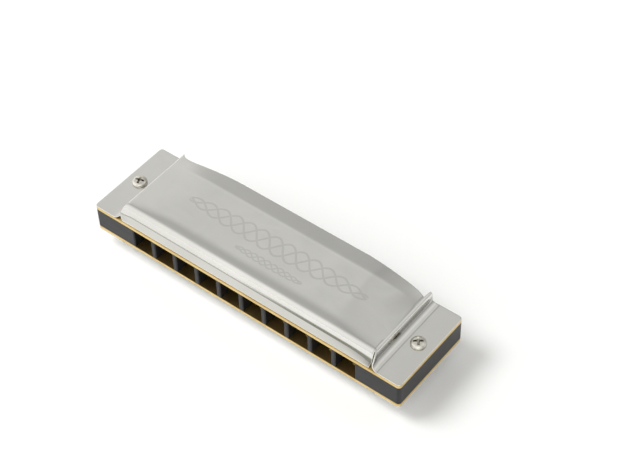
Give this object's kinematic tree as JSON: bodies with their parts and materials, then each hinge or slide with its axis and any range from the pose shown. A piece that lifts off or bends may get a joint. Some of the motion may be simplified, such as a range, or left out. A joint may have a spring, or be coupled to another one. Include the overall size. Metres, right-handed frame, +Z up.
{
  "type": "harmonica",
  "caption": "Diatonic harmonica: black comb between brass reed plates with riveted reeds, under two folded bright sheet-metal covers held by a screw at each end.",
  "frame": {"origin": "middle of the comb, which is also the middle of the whole harmonica", "axes": "+X along the length from hole 1 to hole 10, -Y towards the mouth side, +Z up through the blow plate and the upper cover"},
  "size_m": [0.101, 0.027, 0.02],
  "materials": {
    "cover": "satin-polished nickel plate with a fine rolled grain",
    "comb": "moulded black ABS with a fine grain",
    "reed_plate": "rolled brass sheet, faintly brushed",
    "reed": "ground brass with lengthwise marks",
    "rivet": "turned and peened brass",
    "fastener": "warm nickel-plated steel"
  },
  "bodies": {
    "root": {"comb": "comb", "upper_reed_plate": "reed_plate", "lower_reed_plate": "reed_plate", "upper_cover": "cover", "lower_cover": "cover", "cover_screw_left": "fastener", "cover_screw_right": "fastener", "cover_nut_left": "fastener", "cover_nut_right": "fastener", "upper_plate_screw_1": "fastener", "upper_plate_screw_2": "fastener", "upper_plate_screw_3": "fastener", "upper_plate_screw_4": "fastener", "upper_plate_screw_5": "fastener", "lower_plate_screw_1": "fastener", "lower_plate_screw_2": "fastener", "lower_plate_screw_3": "fastener", "lower_plate_screw_4": "fastener", "lower_plate_screw_5": "fastener", "rivet_blow_1": "rivet", "rivet_blow_2": "rivet", "rivet_blow_3": "rivet", "rivet_blow_4": "rivet", "rivet_blow_5": "rivet", "rivet_blow_6": "rivet", "rivet_blow_7": "rivet", "rivet_blow_8": "rivet", "rivet_blow_9": "rivet", "rivet_blow_10": "rivet", "rivet_draw_1": "rivet", "rivet_draw_2": "rivet", "rivet_draw_3": "rivet", "rivet_draw_4": "rivet", "rivet_draw_5": "rivet", "rivet_draw_6": "rivet", "rivet_draw_7": "rivet", "rivet_draw_8": "rivet", "rivet_draw_9": "rivet", "rivet_draw_10": "rivet"},
    "reed_blow_1": {"reed_blow_1": "reed"},
    "reed_blow_2": {"reed_blow_2": "reed"},
    "reed_blow_3": {"reed_blow_3": "reed"},
    "reed_blow_4": {"reed_blow_4": "reed"},
    "reed_blow_5": {"reed_blow_5": "reed"},
    "reed_blow_6": {"reed_blow_6": "reed"},
    "reed_blow_7": {"reed_blow_7": "reed"},
    "reed_blow_8": {"reed_blow_8": "reed"},
    "reed_blow_9": {"reed_blow_9": "reed"},
    "reed_blow_10": {"reed_blow_10": "reed"},
    "reed_draw_1": {"reed_draw_1": "reed"},
    "reed_draw_2": {"reed_draw_2": "reed"},
    "reed_draw_3": {"reed_draw_3": "reed"},
    "reed_draw_4": {"reed_draw_4": "reed"},
    "reed_draw_5": {"reed_draw_5": "reed"},
    "reed_draw_6": {"reed_draw_6": "reed"},
    "reed_draw_7": {"reed_draw_7": "reed"},
    "reed_draw_8": {"reed_draw_8": "reed"},
    "reed_draw_9": {"reed_draw_9": "reed"},
    "reed_draw_10": {"reed_draw_10": "reed"}
  },
  "joints": [
    {"name": "reed_blow_1_swing", "type": "hinge", "parent": "root", "child": "reed_blow_1", "pos_m": [-0.03375, 0.0084, 0.00287], "axis": [1, 0, 0], "range_deg": [-4, 4], "stiffness_Nm_per_rad": 0.000617},
    {"name": "reed_blow_2_swing", "type": "hinge", "parent": "root", "child": "reed_blow_2", "pos_m": [-0.02625, 0.00762, 0.00287], "axis": [1, 0, 0], "range_deg": [-3.78, 3.78], "stiffness_Nm_per_rad": 0.000536},
    {"name": "reed_blow_3_swing", "type": "hinge", "parent": "root", "child": "reed_blow_3", "pos_m": [-0.01875, 0.00684, 0.00287], "axis": [1, 0, 0], "range_deg": [-3.56, 3.56], "stiffness_Nm_per_rad": 0.000463},
    {"name": "reed_blow_4_swing", "type": "hinge", "parent": "root", "child": "reed_blow_4", "pos_m": [-0.01125, 0.00607, 0.00287], "axis": [1, 0, 0], "range_deg": [-3.33, 3.33], "stiffness_Nm_per_rad": 0.000397},
    {"name": "reed_blow_5_swing", "type": "hinge", "parent": "root", "child": "reed_blow_5", "pos_m": [-0.00375, 0.00529, 0.00287], "axis": [1, 0, 0], "range_deg": [-3.11, 3.11], "stiffness_Nm_per_rad": 0.000337},
    {"name": "reed_blow_6_swing", "type": "hinge", "parent": "root", "child": "reed_blow_6", "pos_m": [0.00375, 0.00451, 0.00287], "axis": [1, 0, 0], "range_deg": [-2.89, 2.89], "stiffness_Nm_per_rad": 0.000284},
    {"name": "reed_blow_7_swing", "type": "hinge", "parent": "root", "child": "reed_blow_7", "pos_m": [0.01125, 0.00373, 0.00287], "axis": [1, 0, 0], "range_deg": [-2.67, 2.67], "stiffness_Nm_per_rad": 0.000237},
    {"name": "reed_blow_8_swing", "type": "hinge", "parent": "root", "child": "reed_blow_8", "pos_m": [0.01875, 0.00296, 0.00287], "axis": [1, 0, 0], "range_deg": [-2.44, 2.44], "stiffness_Nm_per_rad": 0.000195},
    {"name": "reed_blow_9_swing", "type": "hinge", "parent": "root", "child": "reed_blow_9", "pos_m": [0.02625, 0.00218, 0.00287], "axis": [1, 0, 0], "range_deg": [-2.22, 2.22], "stiffness_Nm_per_rad": 0.000158},
    {"name": "reed_blow_10_swing", "type": "hinge", "parent": "root", "child": "reed_blow_10", "pos_m": [0.03375, 0.0014, 0.00287], "axis": [1, 0, 0], "range_deg": [-2, 2], "stiffness_Nm_per_rad": 0.000127},
    {"name": "reed_draw_1_swing", "type": "hinge", "parent": "root", "child": "reed_draw_1", "pos_m": [-0.03375, -0.0092, -0.00443], "axis": [1, 0, 0], "range_deg": [-4, 4], "stiffness_Nm_per_rad": 0.000617},
    {"name": "reed_draw_2_swing", "type": "hinge", "parent": "root", "child": "reed_draw_2", "pos_m": [-0.02625, -0.0092, -0.00443], "axis": [1, 0, 0], "range_deg": [-3.78, 3.78], "stiffness_Nm_per_rad": 0.000536},
    {"name": "reed_draw_3_swing", "type": "hinge", "parent": "root", "child": "reed_draw_3", "pos_m": [-0.01875, -0.0092, -0.00443], "axis": [1, 0, 0], "range_deg": [-3.56, 3.56], "stiffness_Nm_per_rad": 0.000463},
    {"name": "reed_draw_4_swing", "type": "hinge", "parent": "root", "child": "reed_draw_4", "pos_m": [-0.01125, -0.0092, -0.00443], "axis": [1, 0, 0], "range_deg": [-3.33, 3.33], "stiffness_Nm_per_rad": 0.000397},
    {"name": "reed_draw_5_swing", "type": "hinge", "parent": "root", "child": "reed_draw_5", "pos_m": [-0.00375, -0.0092, -0.00443], "axis": [1, 0, 0], "range_deg": [-3.11, 3.11], "stiffness_Nm_per_rad": 0.000337},
    {"name": "reed_draw_6_swing", "type": "hinge", "parent": "root", "child": "reed_draw_6", "pos_m": [0.00375, -0.0092, -0.00443], "axis": [1, 0, 0], "range_deg": [-2.89, 2.89], "stiffness_Nm_per_rad": 0.000284},
    {"name": "reed_draw_7_swing", "type": "hinge", "parent": "root", "child": "reed_draw_7", "pos_m": [0.01125, -0.0092, -0.00443], "axis": [1, 0, 0], "range_deg": [-2.67, 2.67], "stiffness_Nm_per_rad": 0.000237},
    {"name": "reed_draw_8_swing", "type": "hinge", "parent": "root", "child": "reed_draw_8", "pos_m": [0.01875, -0.0092, -0.00443], "axis": [1, 0, 0], "range_deg": [-2.44, 2.44], "stiffness_Nm_per_rad": 0.000195},
    {"name": "reed_draw_9_swing", "type": "hinge", "parent": "root", "child": "reed_draw_9", "pos_m": [0.02625, -0.0092, -0.00443], "axis": [1, 0, 0], "range_deg": [-2.22, 2.22], "stiffness_Nm_per_rad": 0.000158},
    {"name": "reed_draw_10_swing", "type": "hinge", "parent": "root", "child": "reed_draw_10", "pos_m": [0.03375, -0.0092, -0.00443], "axis": [1, 0, 0], "range_deg": [-2, 2], "stiffness_Nm_per_rad": 0.000127}
  ]
}
